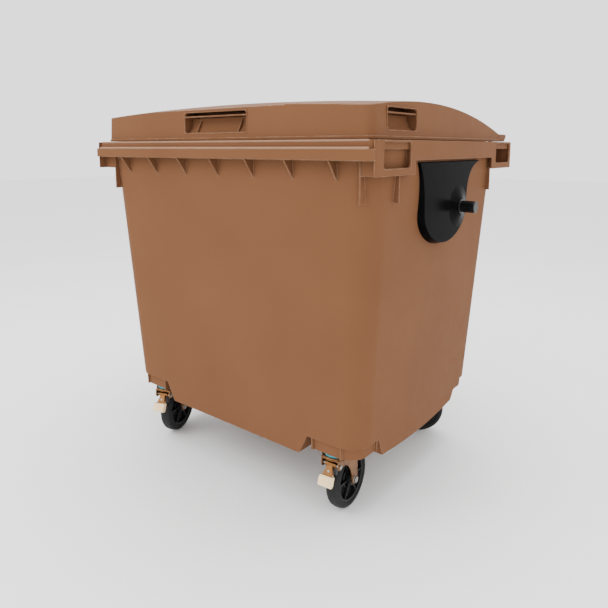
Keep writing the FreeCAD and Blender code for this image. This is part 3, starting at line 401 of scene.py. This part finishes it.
def rim_beads():
    """Rounded beads along the top edges of the front comb and of the rim behind it, coloured a paler brown as a
    painted highlight.
    """
    # The beads' paler brown is a painted highlight along the lit top edges.
    bead_highlight = surface("bead_highlight_edge", BEAD_HIGHLIGHT_BROWN, 0.4, vary=0.08, patch=9.0, shine=0.05)
    for name, half, y, z, radius in (("comb_bead", 617, -519.5, 1186, 5.2),
                                     ("rim_bead", 612, -510.5, 1207.6, 3.6)):
        bar = [(0.0, -half), (radius * 0.7, 1 - half), (radius, 6 - half), (radius, half - 6),
               (radius * 0.7, half - 1), (0.0, half)]
        piece = lathe(name, bar, shift(0, y, z) @ turn(90, "Y"), "tub_plastic", "tub", steps=24)
        piece.data.materials[0] = bead_highlight


def pocket_scoop(name, origin, along, outward, half_u, depth, height):
    """A curved panel that rises inwards from a hand pocket's sill, open above its top edge."""
    along, outward = Vector(along), Vector(outward)
    steps, skin, sill = 10, 2.5, 6.0
    turns = [radians(90) * i / steps for i in range(steps + 1)]
    face = [(sill + (depth - sill) * sin(angle), 1.0 + height * (1 - cos(angle))) for angle in turns]
    outline = face + [(d + skin, z) for d, z in reversed(face)]
    count = len(outline)
    verts = [tuple((along * u - outward * d + UP * z) * MM) for u in (-half_u, half_u) for d, z in outline]
    faces = [(i, (i + 1) % count, count + (i + 1) % count, count + i) for i in range(count)]
    faces += [tuple(range(count)), tuple(range(2 * count - 1, count - 1, -1))]
    add_piece(name, verts, faces, shift(*origin), "lid_plastic", "lid", smooth_below=30)


def pocket_scoops():
    """The scooped backs of the lid's three hand pockets."""
    pocket_scoop("front_lid_handle_scoop", (0, -LID_FRONT, FRONT_SILL), (1, 0, 0), (0, -1, 0),
                 FRONT_HALF_LENGTH - 1, 36, 50)
    for label, side in ENDS:
        pocket_scoop(label + "_lid_handle_scoop", (side * LID_END, END_POCKET_Y, END_SILL), (0, side, 0),
                     (side, 0, 0), END_HALF_LENGTH - 1, 34, 44)


tyres()
hub_trim()
castor_trim()
pedal_trim()
opening_lips()
rim_beads()
pocket_scoops()


# ---------------------------------------------------------------- floor, light and camera
FLOOR_SIZE = 40
FLOOR_COLOR = (0.9, 0.9, 0.9)
SKY_COLOR = (1.0, 1.0, 1.0, 1.0)
SKY_STRENGTH = 2.0
LAMPS = (("key", (-1.6, -3.4, 3.6), 105, 2.4),   # name, place, watts, width
         ("fill", (3.4, -1.2, 2.2), 8, 2.4),
         ("top", (0.3, 0.4, 4.6), 170, 3.0))
LAMP_TARGET = Vector((0, 0, 0.7))
CAMERA_PLACE = (1.418, -1.8095, 1.189)
CAMERA_DROP, CAMERA_TURN = 8.08, 38.306       # degrees below level, and round from straight ahead
LENS, LENS_SHIFT = 34.0, -0.1234


def studio():
    """A pale floor under a white sky, with three soft lamps."""
    bpy.ops.mesh.primitive_plane_add(size=FLOOR_SIZE, location=(0, 0, 0))
    floor = bpy.context.object
    floor.name = "studio_floor"
    floor.data.materials.append(surface("floor_paint", FLOOR_COLOR, 0.7, vary=0.01, edge=0.001))
    world = bpy.data.worlds.new("studio_world")
    world.use_nodes = True
    background = world.node_tree.nodes["Background"]
    background.inputs["Color"].default_value = SKY_COLOR
    background.inputs["Strength"].default_value = SKY_STRENGTH
    bpy.context.scene.world = world
    for name, place, watts, width in LAMPS:
        lamp = bpy.data.lights.new(name, "AREA")
        lamp.energy = watts
        lamp.size = width
        holder = bpy.data.objects.new(name, lamp)
        holder.location = place
        holder.rotation_euler = (LAMP_TARGET - Vector(place)).to_track_quat("-Z", "Y").to_euler()
        bpy.context.scene.collection.objects.link(holder)


def camera():
    """The camera where the photograph was taken from."""
    lens = bpy.data.cameras.new("camera")
    lens.lens = LENS
    lens.shift_y = LENS_SHIFT
    holder = bpy.data.objects.new("camera", lens)
    holder.location = CAMERA_PLACE
    holder.rotation_euler = (radians(90 - CAMERA_DROP), 0, radians(CAMERA_TURN))
    bpy.context.scene.collection.objects.link(holder)
    bpy.context.scene.camera = holder


studio()
camera()
